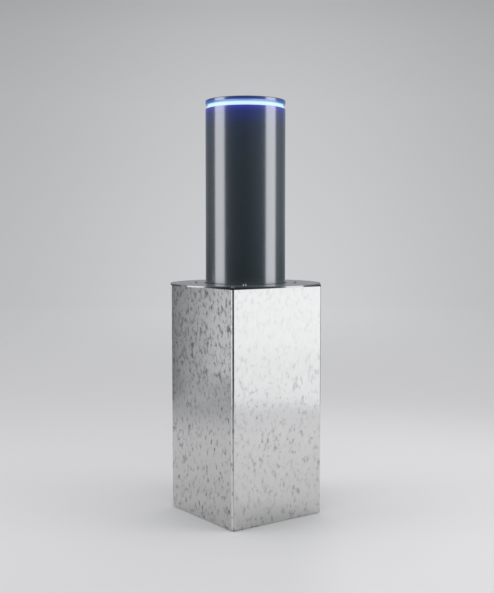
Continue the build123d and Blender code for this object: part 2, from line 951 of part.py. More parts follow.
def pipe_fittings():
    """The two unions of the pressure pipe."""
    return [place * pipe_fitting() for place in fitting_places()]


def pressure_pipe():
    """Bent steel pipe from the block down to the ram's port."""
    near = barrel_radius + union_standoff + 2
    turn = radians(port_turn)
    start = (block_face - edge_break, port_place, block_middle)
    high = (pipe_place, port_place, block_middle)
    low = (pipe_place, port_place, port_level)
    end = (near * cos(turn), near * sin(turn), port_level)
    path = FilletPolyline(start, high, low, end, radius=[pipe_bend / 2, pipe_bend])
    profile = Plane(origin=start, z_dir=(-1, 0, 0)) * Circle(pipe_radius)
    return sweep(profile, path=path)


# Electrical parts, in the corner at -X +Y

def at_box(shape):
    """The shape moved from the centre to the junction box's place."""
    return Pos(-box_place, box_place, box_level) * shape


def junction_box():
    """Moulded box on feet, open towards the middle of the casing."""
    depth = box_side - box_lid_thickness
    outer = Pos(0, box_lid_thickness / 2, box_height / 2) * Box(box_side, depth, box_height)
    outer = fillet(outer.edges().filter_by(Axis.Y), box_corner)
    inner = Pos(0, box_lid_thickness / 2 - box_wall, box_height / 2)
    inner *= Box(box_side - 2 * box_wall, depth, box_height - 2 * box_wall)
    post = Rot(90, 0, 0) * disc(box_post_radius, -depth / 2, depth / 2)
    for x, z in box_screw_places():
        inner -= Pos(x, box_lid_thickness / 2, z) * post
    body = outer - inner
    front = box_lid_thickness - box_side / 2
    pilot = Rot(90, 0, 0) * disc(box_screw_radius + fit_gap, -box_screw_length, cut_over)
    foot = Rot(90, 0, 0) * disc(box_foot_radius, -box_gap, box_wall / 2)
    for x, z in box_screw_places():
        body -= Pos(x, front, z) * pilot
        body += Pos(x, box_side / 2, z) * foot
    for x in box_gland_places():
        body -= Pos(x, 0, 0) * disc(box_gland_radius + fit_gap, -cut_over, box_wall + cut_over)
    return at_box(body)


def box_screw_places():
    """The lid's four screws, as places across and up from the box's underside."""
    half = box_side / 2 - box_screw_inset
    levels = (box_screw_inset, box_height - box_screw_inset)
    return [(x, z) for x in (-half, half) for z in levels]


def box_gland_places():
    """The two cable entries, as places across the box."""
    return (-box_side / 5, box_side / 5)


def box_lid():
    """Lid with softened edges and four screw seats."""
    lid = Box(box_side, box_lid_thickness, box_height)
    lid = fillet(lid.edges().filter_by(Axis.Y), box_corner)
    lid = chamfer(lid.faces().sort_by(Axis.Y)[0].edges(), box_lid_edge)
    lid = Pos(0, (box_lid_thickness - box_side) / 2, box_height / 2) * lid
    hole = disc(box_screw_radius + fit_gap, -box_side, cut_over)
    hole += disc(box_screw_head + fit_gap, -box_screw_head, cut_over)
    for x, z in box_screw_places():
        lid -= Pos(x, -box_side / 2, z) * Rot(90, 0, 0) * hole
    return at_box(lid)


def box_screws():
    """The lid's screws, their heads flush with the lid."""
    screw = disc(box_screw_radius, -box_screw_length, -box_screw_head)
    screw = Rot(90, 0, 0) * (screw + disc(box_screw_head, -box_screw_head, 0))
    return [at_box(Pos(x, -box_side / 2, z) * screw) for x, z in box_screw_places()]


def box_glands():
    """Two closed entries under the box."""
    body = disc(box_gland_radius, -edge_break, 2 * box_wall)
    body += hexagon(box_gland_flats, -box_gland_hexagon, 0)
    body += disc(box_gland_round, -box_gland_length, -box_gland_hexagon)
    body = chamfer(body.faces().sort_by(Axis.Z)[0].edges(), 2 * edge_break)
    return [at_box(Pos(x, 0, 0) * body) for x in box_gland_places()]


def conduit_frame():
    """Place of the conduit entry in the casing's back wall, Z pointing out."""
    return Pos(-box_place, casing_half, gland_level) * Rot(-90, 0, 0)


def conduit_gland():
    """Entry for the supply conduit, screwed through the casing's wall."""
    inside = -casing_sheet - gland_inside
    body = disc(gland_radius, inside, 0) + hexagon(gland_flats, 0, gland_hexagon)
    body += disc(gland_radius + gland_wall - edge_break, gland_hexagon, gland_length)
    bore = disc(gland_radius - gland_wall, inside - cut_over, gland_length + cut_over)
    return conduit_frame() * (body - bore)


def gland_locknut():
    """Nut that holds the conduit entry inside the wall."""
    low = -casing_sheet - locknut_height
    nut = hexagon(locknut_flats, low, -casing_sheet)
    return conduit_frame() * (nut - disc(gland_radius + fit_gap, low - cut_over, 0))


def gland_plug():
    """Blanking plug, since no cable is fitted."""
    plug = disc(gland_radius - gland_wall - fit_gap, gland_hexagon / 2, gland_length)
    plug += disc(gland_radius + edge_break, gland_length, gland_length + plug_head)
    plug = chamfer(plug.faces().sort_by(Axis.Z)[-1].edges(), edge_break)
    return conduit_frame() * plug


def sensor_frame(level):
    """Place of a sensor: beside the guide rod on the -X side, Z pointing along +Y."""
    start = lug_radius + sensor_gap
    return Pos(-guide_place, start, level) * Rot(-90, 0, 0)


def sensor_levels():
    """Heights of the two sensors, at the raised and the lowered carriage."""
    raised = carriage_bottom + carriage_height / 2
    return raised, raised - stroke


def sensor_bracket(level):
    """Angle bracket on the casing wall, with a hole for the sensor."""
    depth = inner_half - guide_place
    low = lug_radius + sensor_gap + ear_start
    ear_width = depth + ear_half
    ear = Pos(-inner_half + ear_width / 2, low + bracket_thickness / 2, level)
    ear *= Box(ear_width, bracket_thickness, 2 * ear_half)
    back = Pos(-inner_half + bracket_thickness / 2, low + ear_half, level)
    back *= Box(bracket_thickness, 2 * ear_half, 2 * ear_half)
    bracket = ear + back
    return bracket - sensor_frame(level) * disc(sensor_radius + fit_gap, 0, sensor_length)


def proximity_sensor(level):
    """Threaded barrel with a plain sensing tip and a slimmer tail."""
    body = disc(sensor_radius - edge_break, 0, sensor_tip)
    body += disc(sensor_radius, sensor_tip, sensor_length)
    body += disc(sensor_radius - 2 * edge_break, sensor_length, sensor_length + sensor_tail)
    return sensor_frame(level) * body


def sensor_nuts():
    """Two lock nuts on each sensor, one each side of its bracket."""
    nuts = []
    for level in sensor_levels():
        for start in (ear_start - sensor_nut_height, ear_start + bracket_thickness):
            end = start + sensor_nut_height
            nut = hexagon(sensor_nut_flats, start, end)
            nut -= disc(sensor_radius + fit_gap, start - cut_over, end + cut_over)
            nuts.append(sensor_frame(level) * nut)
    return nuts


def drain_strainer():
    """Perforated disc over the drain, with one hole, a ring of 6 and a ring of 12."""
    top = base_top + strainer_thickness
    body = disc(drain_radius + strainer_edge, base_top, top)
    hole = disc(strainer_hole, base_top - cut_over, top + cut_over)
    for count, radius in ((1, 0.0), (6, drain_radius / 3), (12, drain_radius * 2 / 3)):
        for x, y in circle_places(count, radius, 0):
            body -= Pos(x, y, 0) * hole
    return Pos(-drain_place, drain_place, 0) * body


def main():
    """Write every sub-part to its own file."""
    os.makedirs("parts", exist_ok=True)
    single = [
        casing, base_plate, corner_ledges, head_plate, guide_bush, top_frame,
        cover_flange, wiper_seal, flange_screws, corner_screws,
        ram_barrel, ram_pin, ram_gland, rod_wiper, ram_rod, ram_piston, piston_seals, rod_nut,
        bollard_tube, tube_head, crown_hub, light_strip, light_ring, cap, cap_screws, hub_screws,
        foot_ring, carriage, carriage_screws, stop_buffers,
        unit_foot, oil_tank, valve_block, release_knob, pump_motor, relief_valve,
        pipe_fittings, pressure_pipe,
        junction_box, box_lid, box_screws, box_glands,
        conduit_gland, gland_locknut, gland_plug, sensor_nuts, drain_strainer,
    ]
    for make in single:
        save(make(), make.__name__)
    for number, (x, y) in enumerate(side_places(guide_place), start=1):
        save(Pos(x, y, 0) * guide_rod(), "guide_rod_%d" % number)
        save(Pos(x, y, 0) * rod_bush(), "rod_bush_%d" % number)
    for name, level in zip(("upper", "lower"), sensor_levels()):
        save(proximity_sensor(level), name + "_sensor")
        save(sensor_bracket(level), name + "_bracket")


main()
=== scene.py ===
import bpy
import json
from math import asin, cos, pi, radians, sin, sqrt

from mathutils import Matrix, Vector


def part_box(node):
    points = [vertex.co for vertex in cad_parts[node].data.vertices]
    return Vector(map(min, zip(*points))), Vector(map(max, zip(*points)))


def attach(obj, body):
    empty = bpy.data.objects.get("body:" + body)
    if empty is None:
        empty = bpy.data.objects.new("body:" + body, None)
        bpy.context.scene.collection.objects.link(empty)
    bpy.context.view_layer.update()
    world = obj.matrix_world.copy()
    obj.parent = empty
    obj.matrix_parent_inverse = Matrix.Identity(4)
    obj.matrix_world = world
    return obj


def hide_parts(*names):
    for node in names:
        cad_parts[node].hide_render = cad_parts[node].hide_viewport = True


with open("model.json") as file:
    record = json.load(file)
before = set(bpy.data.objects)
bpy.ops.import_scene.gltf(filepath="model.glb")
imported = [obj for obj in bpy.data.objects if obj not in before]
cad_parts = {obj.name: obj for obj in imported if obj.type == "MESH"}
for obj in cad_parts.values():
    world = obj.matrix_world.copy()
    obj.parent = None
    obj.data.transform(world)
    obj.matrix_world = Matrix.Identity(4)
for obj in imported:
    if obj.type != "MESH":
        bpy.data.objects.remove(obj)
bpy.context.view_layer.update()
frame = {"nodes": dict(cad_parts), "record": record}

# Rising bollard, raised on its galvanised pit casing. Metres, the CAD's own frame.
# Sizes come from the CAD nodes' boxes and from the values below.
mm = 0.001

# Facets around a piece, and in a rounding
tube_steps = 192                # large turned pieces
screw_steps = 40
hole_steps = 48                 # anchor holes and notches
drain_steps = 96
conduit_steps = 64
floor_steps = 128
bend_segments = 6
dome_steps = 8

# Casing
sheet = 3 * mm
bend = 6 * mm                   # outside radius of its folds
drain_radius = 30 * mm
drain_place = 110 * mm
anchor_radius = 7 * mm
anchor_x = 150 * mm
anchor_y = 60 * mm
conduit_x = -143 * mm
conduit_level = 430 * mm
conduit_radius = 12.55 * mm

# Top frame, flange and wiper seal
frame_edge = 0.5 * mm           # roundings
flange_edge = 1 * mm
flange_bore_edge = 0.4 * mm
lip_edge = 0.5 * mm
bore = 142.85 * mm              # opening in flange and frame for the wiper seal
seal_bore = 137.8 * mm
seal_lip = 1.5 * mm
notch_radius = 8 * mm           # clears a corner screw
notch_share = 12                # a notch is drawn outward by its place divided by this

# Tube and crown
tube_wall = 6 * mm
tube_edge = 0.8 * mm            # rounding
light_wall = 6.7 * mm
cap_bevel_height = 4.5 * mm
cap_bevel_width = 3 * mm
cap_bevel_edge = 0.6 * mm       # roundings
cap_edge = 3 * mm
painted_glow_reach = 230 * mm           # how far the blue glow painted on the tube runs down from its top
cap_skin = 7 * mm
hub_bore = 100.1 * mm           # hollow under the cap's skin

# Screws
screw_radius = 3 * mm
screw_head = 6 * mm             # radius of a countersunk head
screw_key = 4 * mm              # across the socket's flats
head_land = 0.4 * mm
button_radius = 6.8 * mm        # domed heads of the flange's and the corners' screws
button_height = 3.3 * mm
button_rim = 2.6 * mm           # straight rim under the dome, where the glints lie
hole_gap = 0.05 * mm
flange_screw_circle = 174 * mm
flange_screw_turn = 53          # degrees
flange_screw_length = 23 * mm
corner_screw_place = 178 * mm
corner_screw_length = 17 * mm
cap_screw_circle = 111.1 * mm
cap_screw_turn = 45
cap_screw_length = 25 * mm
cap_hole_depth = 17 * mm

# Studio
front = (-0.6, -0.8)            # from the bollard to the camera, on the floor plan
lamp_distance = 2.3
lamp_turn = 76.7                # degrees from the front, to either side
lamp_width = 1.43
lamp_foot = 0.5                 # the soft boxes' lower edge
lamp_head = 3.1
lamp_ground = 0.01              # lower edge of lamps that reach the floor
panel_head = 0.71
right_radiance = 1.52
left_radiance = 1.45
floor_radius = 16
eye_place = (-1.9595, -2.6912, 0.9717)
eye_tilt = 86.23                # degrees
eye_turn = -36.15
eye_lens = 58.27

casing_low, casing_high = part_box("casing")
frame_low, frame_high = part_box("top_frame")
flange_low, flange_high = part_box("cover_flange")
seal_low, seal_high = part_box("wiper_seal")
tube_low, tube_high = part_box("bollard_tube")
light_low, light_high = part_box("light_ring")
cap_low, cap_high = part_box("cap")
tube_radius = tube_high[0]


# Modelling

def deselect():
    """Nothing selected, in object mode."""
    if bpy.context.object and bpy.context.object.mode != "OBJECT":
        bpy.ops.object.mode_set(mode="OBJECT")
    bpy.ops.object.select_all(action="DESELECT")


def started(name):
    """Name the primitive just added and put its place into its mesh."""
    piece = bpy.context.object
    piece.name = name
    piece.data.name = name
    bpy.ops.object.transform_apply(location=True, rotation=True, scale=True)
    return piece


def block(name, low, high):
    """Box primitive between two corners."""
    deselect()
    middle = [(a + b) / 2 for a, b in zip(low, high)]
    bpy.ops.mesh.primitive_cube_add(size=1, location=middle)
    bpy.context.object.scale = [b - a for a, b in zip(low, high)]
    return started(name)


def rod(name, radius, low, high, place=(0, 0), steps=hole_steps):
    """Upright cylinder primitive between two levels."""
    deselect()
    middle = (place[0], place[1], (low + high) / 2)
    bpy.ops.mesh.primitive_cylinder_add(
        vertices=steps, radius=radius, depth=high - low, location=middle
    )
    return started(name)


def pick(piece, kind, test):
    """Select the vertices, edges or faces whose place and direction pass the test."""
    bpy.ops.object.mode_set(mode="EDIT")
    bpy.ops.mesh.select_mode(type=kind)
    bpy.ops.mesh.select_all(action="DESELECT")
    bpy.ops.object.mode_set(mode="OBJECT")
    mesh = piece.data
    if kind == "VERT":
        for vertex in mesh.vertices:
            vertex.select = test(vertex.co)
    elif kind == "EDGE":
        for edge in mesh.edges:
            a, b = [mesh.vertices[i].co for i in edge.vertices]
            edge.select = test((a + b) / 2, b - a)
    else:
        for face in mesh.polygons:
            face.select = test(face.center, face.normal)
    bpy.ops.object.mode_set(mode="EDIT")


def near(a, b, reach=0.05 * mm):
    return abs(a - b) < reach


def outline(name, points, rounds=()):
    """Wire of radius and height points in the XZ plane, some corners rounded.
    rounds holds (number of the point, how far the round starts from it, segments)."""
    deselect()
    start = points[0]
    bpy.ops.mesh.primitive_plane_add(size=mm, location=(start[0], 0, start[1]))
    piece = started(name)
    bpy.ops.object.mode_set(mode="EDIT")
    bpy.ops.mesh.select_mode(type="VERT")
    bpy.ops.mesh.merge(type="CENTER")
    for (r0, z0), (r1, z1) in zip(points, points[1:]):
        bpy.ops.mesh.extrude_vertices_move(
            TRANSFORM_OT_translate={"value": (r1 - r0, 0, z1 - z0)}
        )
    bpy.ops.mesh.select_all(action="SELECT")
    bpy.ops.mesh.remove_doubles(threshold=0.01 * mm)
    for number, start_off, segments in rounds:
        r, z = points[number]
        pick(piece, "VERT", lambda p: near(p.x, r) and near(p.z, z))
        bpy.ops.mesh.bevel(offset=start_off, segments=segments, affect="VERTICES")
    return piece


def turned(name, points, rounds=(), steps=tube_steps):
    """Piece spun round the Z axis from a closed outline of radius and height."""
    on_axis = points[0][0] == 0 and points[-1][0] == 0
    piece = outline(name, points if on_axis else points + [points[0]], rounds)
    bpy.ops.mesh.select_all(action="SELECT")
    bpy.ops.mesh.spin(steps=steps, angle=2 * pi, center=(0, 0, 0), axis=(0, 0, 1))
    bpy.ops.mesh.select_all(action="SELECT")
    bpy.ops.mesh.remove_doubles(threshold=0.01 * mm)
    bpy.ops.mesh.normals_make_consistent(inside=False)
    bpy.ops.object.mode_set(mode="OBJECT")
    return piece


def modify(piece, kind, **settings):
    """Add one modifier and apply it."""
    deselect()
    piece.select_set(True)
    bpy.context.view_layer.objects.active = piece
    modifier = piece.modifiers.new(kind.lower(), kind)
    for setting, value in settings.items():
        setattr(modifier, setting, value)
    bpy.ops.object.modifier_apply(modifier=modifier.name)
    return piece


def cut(piece, *tools):
    """Take the tools away from the piece, and delete them."""
    for tool in tools:
        modify(piece, "BOOLEAN", operation="DIFFERENCE", object=tool, solver="EXACT")
        bpy.data.objects.remove(tool, do_unlink=True)
    return piece


def smoothed(piece, angle=32):
    """Smooth shading up to an angle, with large flat faces kept flat."""
    deselect()
    piece.select_set(True)
    bpy.context.view_layer.objects.active = piece
    bpy.ops.object.shade_smooth_by_angle(angle=radians(angle))
    return modify(piece, "WEIGHTED_NORMAL", keep_sharp=True, weight=80)


def copied(piece, name, shift):
    """A copy with its own mesh, moved by shift."""
    deselect()
    piece.select_set(True)
    bpy.context.view_layer.objects.active = piece
    bpy.ops.object.duplicate()
    bpy.ops.transform.translate(value=shift)
    return started(name)


def finished(piece, body, slot, *nodes):
    """Let a piece ride on its body, stand for its nodes and take its finish."""
    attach(piece, body)
    if nodes:
        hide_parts(*nodes)
    piece.data.materials.clear()
    piece.data.materials.append(finishes[slot])


def circle_places(count, radius, start):
    turns = [radians(start + 360 * i / count) for i in range(count)]
    return [(radius * cos(turn), radius * sin(turn)) for turn in turns]


def corner_places(distance):
    return [(x, y) for x in (-distance, distance) for y in (-distance, distance)]


def flange_screw_places():
    return circle_places(4, flange_screw_circle, flange_screw_turn)


def cap_screw_places():
    return circle_places(4, cap_screw_circle, cap_screw_turn)


def screw_hole(place, low, high):
    """What is cut for a screw's shank."""
    radius = screw_radius + hole_gap
    return rod("screw_hole", radius, low - mm, high + mm, place, screw_steps)


def countersink(place, top, depth):
    """What is cut for a countersunk screw."""
    hole = screw_radius + hole_gap
    head = screw_head + hole_gap
    points = [
        (0, top + mm),
        (head, top + mm),
        (head, top - head_land),
        (hole, top - head_land - (head - hole)),
        (hole, top - depth),
        (0, top - depth),
    ]
    tool = turned("countersink", points, steps=screw_steps)
    deselect()
    tool.select_set(True)
    bpy.ops.transform.translate(value=(place[0], place[1], 0))
    bpy.ops.object.transform_apply(location=True, rotation=False, scale=False)
    return tool


def socket_screw(name, points, top, depth):
    """Screw turned from an outline, with a hexagon socket let into its head."""
    screw = turned(name, points, steps=screw_steps)
    deselect()
    bpy.ops.mesh.primitive_cylinder_add(
        vertices=6, radius=screw_key / sqrt(3), depth=2 * depth, location=(0, 0, top)
    )
    return smoothed(cut(screw, started("socket")))


def countersunk_screw(name, top, length):
    """Socket screw with its flat head's face at the top."""
    cone = screw_head - screw_radius
    points = [
        (0, top - length),
        (screw_radius, top - length),
        (screw_radius, top - head_land - cone),
        (screw_head, top - head_land),
        (screw_head, top),
        (0, top),
    ]
    return socket_screw(name, points, top, screw_key / 2)


def button_screw(name, seat, length):
    """Socket screw with a domed head that sits on the seat."""
    dome = button_height - button_rim
    ball = (button_radius**2 + dome**2) / (2 * dome)
    top = seat + button_height
    points = [
        (0, seat - length),
        (screw_radius, seat - length),
        (screw_radius, seat),
        (button_radius, seat),
    ]
    for i in range(dome_steps + 1):
        turn = asin(button_radius / ball) * (1 - i / dome_steps)
        points.append((ball * sin(turn), top - ball + ball * cos(turn)))
    return socket_screw(name, points, top, button_height * 2 / 3)


def screw_set(screw, places, body, node):
    """Copies of a screw made on the Z axis, that stand for one CAD node."""
    for i, (x, y) in enumerate(places):
        made = copied(screw, f"{node}_{i + 1}", (x, y, 0))
        finished(made, body, "stainless", node)
    bpy.data.objects.remove(screw, do_unlink=True)


# Finishes

class Value:
    """One node socket, so that sums of sockets read as plain sums."""

    def __init__(self, finish, socket):
        self.finish = finish
        self.socket = socket

    def maths(self, operation, first, second):
        return self.finish.maths(operation, first, second)

    def __add__(self, other):
        return self.maths("ADD", self, other)

    def __sub__(self, other):
        return self.maths("SUBTRACT", self, other)

    def __rsub__(self, other):
        return self.maths("SUBTRACT", other, self)

    def __mul__(self, other):
        return self.maths("MULTIPLY", self, other)

    def __truediv__(self, other):
        return self.maths("DIVIDE", self, other)

    def __rtruediv__(self, other):
        return self.maths("DIVIDE", other, self)

    def __pow__(self, other):
        return self.maths("POWER", self, other)

    def __rpow__(self, other):
        return self.maths("POWER", other, self)

    __radd__ = __add__
    __rmul__ = __mul__


class Finish:
    """A node tree that is written from top to bottom."""

    def __init__(self, tree):
        self.tree = tree
        tree.nodes.clear()

    def node(self, kind, settings=None, sockets=None, out=0):
        made = self.tree.nodes.new(kind)
        for setting, value in (settings or {}).items():
            if setting == "stops":
                self.set_stops(made.color_ramp, value)
            else:
                setattr(made, setting, value)
        for socket, value in (sockets or {}).items():
            if isinstance(value, Value):
                self.tree.links.new(value.socket, made.inputs[socket])
            else:
                made.inputs[socket].default_value = value
        return Value(self, made.outputs[out]) if made.outputs else None

    def set_stops(self, ramp, stops):
        while len(ramp.elements) > 1:
            ramp.elements.remove(ramp.elements[0])
        for i, (place, colour) in enumerate(stops):
            element = ramp.elements[0] if i == 0 else ramp.elements.new(place)
            element.position = place
            element.color = (*colour, 1)

    def place(self, scale=(1, 1, 1)):
        """Where on the piece, in metres times scale."""
        where = self.node("ShaderNodeTexCoord", out="Object")
        return self.node("ShaderNodeMapping", {}, {"Vector": where, "Scale": scale})

    def axis(self, name):
        """One coordinate of the place on the piece."""
        where = self.node("ShaderNodeTexCoord", out="Object")
        return self.node("ShaderNodeSeparateXYZ", {}, {0: where}, out=name)

    def noise(self, where, scale, detail, out="Fac"):
        sockets = {"Vector": where, "Scale": scale, "Detail": detail}
        return self.node("ShaderNodeTexNoise", {}, sockets, out=out)

    def cells(self, where, scale, out="Color"):
        sockets = {"Vector": where, "Scale": scale}
        return self.node("ShaderNodeTexVoronoi", {}, sockets, out=out)

    def ramp(self, value, *stops):
        """Colour by value; stops are places with a grey or a colour."""
        full = [(p, (c, c, c) if isinstance(c, (int, float)) else c) for p, c in stops]
        return self.node("ShaderNodeValToRGB", {"stops": full}, {0: value})

    def span(self, value, low, high, to_low=0.0, to_high=1.0, smooth=True):
        """Value between low and high as a share, held at both ends."""
        kind = "SMOOTHSTEP" if smooth else "LINEAR"
        sockets = {0: value, 1: low, 2: high, 3: to_low, 4: to_high}
        return self.node("ShaderNodeMapRange", {"interpolation_type": kind}, sockets)

    def maths(self, operation, first, second=0.0):
        sockets = {0: first, 1: second}
        return self.node("ShaderNodeMath", {"operation": operation}, sockets)

    def vector(self, operation, sockets, out=0):
        return self.node("ShaderNodeVectorMath", {"operation": operation}, sockets, out)

    def scaled(self, colour, share):
        """A colour times a number."""
        return self.vector("SCALE", {0: colour, "Scale": share})

    def distance(self, where):
        """How far a place lies from the centre."""
        return self.vector("LENGTH", {0: where}, "Value")

    def mix(self, share, first, second):
        """Blend of two colours."""
        sides = [c if isinstance(c, Value) else (*c, 1) for c in (first, second)]
        sockets = {0: share, 6: sides[0], 7: sides[1]}
        return self.node("ShaderNodeMix", {"data_type": "RGBA"}, sockets, out=2)

    def shifted(self, where, colour, amount):
        """A place pushed about by a noise's colour."""
        centred = self.vector("SUBTRACT", {0: colour, 1: [0.5] * 3})
        return self.vector("MULTIPLY_ADD", {0: centred, 1: [amount] * 3, 2: where})

    def bump(self, height, depth, strength):
        """Normal from a height of 0 to 1, with its depth in metres."""
        sockets = {"Height": height, "Distance": depth, "Strength": strength}
        return self.node("ShaderNodeBump", {}, sockets)

    def surface(self, **sockets):
        """The shader, with spaces in socket names written as underscores."""
        named = {key.replace("_", " "): value for key, value in sockets.items()}
        shader = self.node("ShaderNodeBsdfPrincipled", {}, named)
        self.node("ShaderNodeOutputMaterial", {}, {"Surface": shader})


def new_finish(name):
    material = bpy.data.materials.new(name)
    material.use_nodes = True
    return material, Finish(material.node_tree)


def from_axis(finish, where):
    """How far a place lies from the tube's axis."""
    return finish.distance(finish.vector("MULTIPLY", {0: where, 1: (1, 1, 0)}))


def along(finish, where, direction):
    """How far a place lies from the centre in a direction on the floor plan."""
    return finish.vector("DOT_PRODUCT", {0: where, 1: (*direction, 0)}, "Value")


def shaded(colour, share):
    """A plain colour made lighter or darker."""
    return tuple(c * share for c in colour)


def flecks(finish, where, lean, size, spread):
    """Share of ragged crystals, mostly upright, that lean by some degrees."""
    drift = finish.noise(where, 60, 2, out="Color")
    loose = finish.shifted(where, drift, 0.01)
    sockets = {"Vector": loose, "Rotation": (radians(lean), radians(-lean), 0.4)}
    tall = finish.node("ShaderNodeMapping", {}, {**sockets, "Scale": (1, 1, 0.6)})
    return finish.span(finish.noise(tall, size, 1.8) + spread, 0.56, 0.8)


def zinc(finish, size, strength, spread, roughness, shade=1.0, painted_highlight_share=0.0):
    """Hot-dip zinc: pale skin with scattered dull crystals and a slight unevenness.
    A painted highlight lightens it where its share is 1."""
    where = finish.place()
    patch = 0.10 * (finish.noise(where, 14, 2) - 0.5) + spread
    one = flecks(finish, where, 22, size, patch)
    two = flecks(finish, where, -26, 1.2 * size, patch)
    dull = finish.maths("MAXIMUM", one, two) * strength
    crystal = finish.cells(finish.place((1, 1, 0.6)), size)
    ground = finish.node("ShaderNodeSeparateColor", {}, {0: crystal})
    light = shaded((0.53, 0.529, 0.527), shade)
    deep = shaded((0.13, 0.132, 0.135), shade)
    colour = finish.ramp(dull + 0.04 * ground, (0, light), (1, deep))
    # painted highlight colour, mixed in by its share
    colour = finish.mix(painted_highlight_share, colour, (0.84, 0.84, 0.84))
    gloss = roughness + 0.06 * dull
    relief = finish.bump(finish.noise(where, 7, 1), 0.0015, 0.3)
    finish.surface(Base_Color=colour, Metallic=0.97, Roughness=gloss, Normal=relief)


def galvanised_sheet(finish):
    """Crystals stand out on the left and back faces. On the right face they are kept
    faint, a painted light where it mirrors the bright soft box, and grow towards the
    ground, a painted shade. A painted highlight lightens the zinc in a thin line along
    the front folds."""
    height = finish.axis("Z")
    depth = finish.axis("Y")
    # painted light and shade: fewer dull crystals on the right face, more near its
    # ground
    side = finish.span(depth, casing_low[1] + 0.2 * mm, casing_low[1] + mm)
    low = finish.span(height, 0.3, 0.65, 0.5, 0.15)
    strength = 0.85 * side + (1 - side) * low
    spread = 0.01 + 0.035 * side * finish.span(height, 0.35, 0.7)
    # painted highlight: a thin light line along the front folds
    fold = casing_low[1] + bend
    bright = finish.span(depth, fold - 2.4 * mm, fold - 1.8 * mm)
    bright = bright * finish.span(depth, fold - 0.2 * mm, fold + 0.4 * mm, 1, 0)
    zinc(finish, 68, strength, spread, 0.14, painted_highlight_share=bright)


def galvanised_plate(finish):
    zinc(finish, 85, 0.6, 0.0, 0.38, 0.85)


def metal(finish, colour, roughness, grain, scale=900, stretch=(1, 1, 1), stain=0.12):
    """Bare metal with stains and a grain that may run one way."""
    where = finish.place()
    cloud = finish.noise(where, 30, 3)
    lines = finish.noise(finish.place(stretch), scale, 2)
    tint = finish.mix(cloud, shaded(colour, 1 - stain), shaded(colour, 1 + stain))
    gloss = roughness + 0.12 * (cloud - 0.5) + 0.1 * (lines - 0.5)
    relief = finish.bump(lines, 0.0001, grain)
    finish.surface(Base_Color=tint, Metallic=1.0, Roughness=gloss, Normal=relief)


def stainless(finish):
    metal(finish, (0.78, 0.78, 0.79), 0.08, 0.03)


def zinc_screws(finish):
    metal(finish, (0.56, 0.57, 0.56), 0.3, 0.15)


def turned_aluminium(finish):
    metal(finish, (0.66, 0.67, 0.68), 0.26, 0.2, 1200, (0.05, 0.05, 1), 0.05)


def cast_aluminium(finish):
    metal(finish, (0.5, 0.51, 0.52), 0.52, 0.6, 700)


def plain_steel(finish):
    metal(finish, (0.38, 0.38, 0.39), 0.34, 0.2)


def chromed_rod(finish):
    metal(finish, (0.68, 0.69, 0.7), 0.08, 0.02, 1500, (1, 1, 0.05), 0.03)


def flange_steel(finish):
    """Grey metallic coat on steel, nearly smooth, with a little dust lying on it. Its
    rim takes a darker tint than its top, a painted shade.
    """
    where = finish.place()
    flake = finish.noise(where, 2600, 1)
    dust = finish.noise(where, 26, 4)
    top = finish.mix(flake, (0.5, 0.51, 0.525), (0.6, 0.61, 0.625))
    reach = from_axis(finish, where)
    # painted shade: the rim's tint is darker than the top's
    rim = finish.span(reach, flange_high[0] - 1.2 * mm, flange_high[0] - 0.4 * mm)
    tint = finish.mix(rim, top, (0.42, 0.43, 0.44))
    gloss = (0.25 + 0.08 * dust) * (1 - rim) + 0.17 * rim
    relief = finish.bump(finish.noise(where, 420, 2), 0.00004, 0.25)
    finish.surface(
        Base_Color=tint, Metallic=1.0, Roughness=gloss, Normal=relief, Coat_Weight=0.1
    )


def anthracite_paint(finish):
    """Gloss metallic paint. A painted blue glow, standing in for the ring's light, lies
    in the emission of the tube's outer skin near its top and of the cap's bevel and
    edge.
    """
    where = finish.place()
    flake = finish.noise(where, 3200, 1)
    cloud = finish.noise(where, 12, 2)
    tint = finish.mix(flake, (0.241, 0.249, 0.261), (0.322, 0.328, 0.342))
    gloss = 0.165 + 0.05 * cloud
    relief = finish.bump(finish.noise(where, 300, 2), 0.00003, 0.2)
    low, high = tube_high[2] - painted_glow_reach, cap_high[2]
    level = finish.span(finish.axis("Z"), low, high, smooth=False)

    def at(height):
        return (height - low) / (high - low)

    # painted glow: blue emission strongest at the tube's top and the cap's bevel,
    # fading down the tube
    glow = finish.ramp(
        level,
        (0, (0, 0, 0)),
        (at(tube_high[2] - 190 * mm), (0.0, 0.0, 0.002)),
        (at(tube_high[2] - 122 * mm), (0.0, 0.0, 0.008)),
        (at(tube_high[2] - 66 * mm), (0.0, 0.001, 0.022)),
        (at(tube_high[2] - 21 * mm), (0.0, 0.003, 0.098)),
        (at(tube_high[2] - 8 * mm), (0.009, 0.010, 0.225)),
        (at(tube_high[2]), (0.03, 0.028, 0.4)),
        (at(cap_low[2]), (0.03, 0.24, 0.62)),
        (at(cap_low[2] + cap_bevel_height), (0.016, 0.07, 0.34)),
        (at(cap_low[2] + 1.7 * cap_bevel_height), (0.008, 0.014, 0.17)),
        (1, (0.002, 0.004, 0.09)),
    )
    # the painted glow lies only on the outer skin, near the tube's radius
    reach = from_axis(finish, where)
    edge = finish.span(reach, tube_radius - 7 * mm, tube_radius - mm)
    finish.surface(
        Base_Color=tint,
        Metallic=1.0,
        Roughness=gloss,
        Normal=relief,
        Coat_Weight=0.3,
        Coat_Roughness=0.06,
        Emission_Color=finish.mix(edge, (0, 0, 0), glow),
        Emission_Strength=1.0,
    )


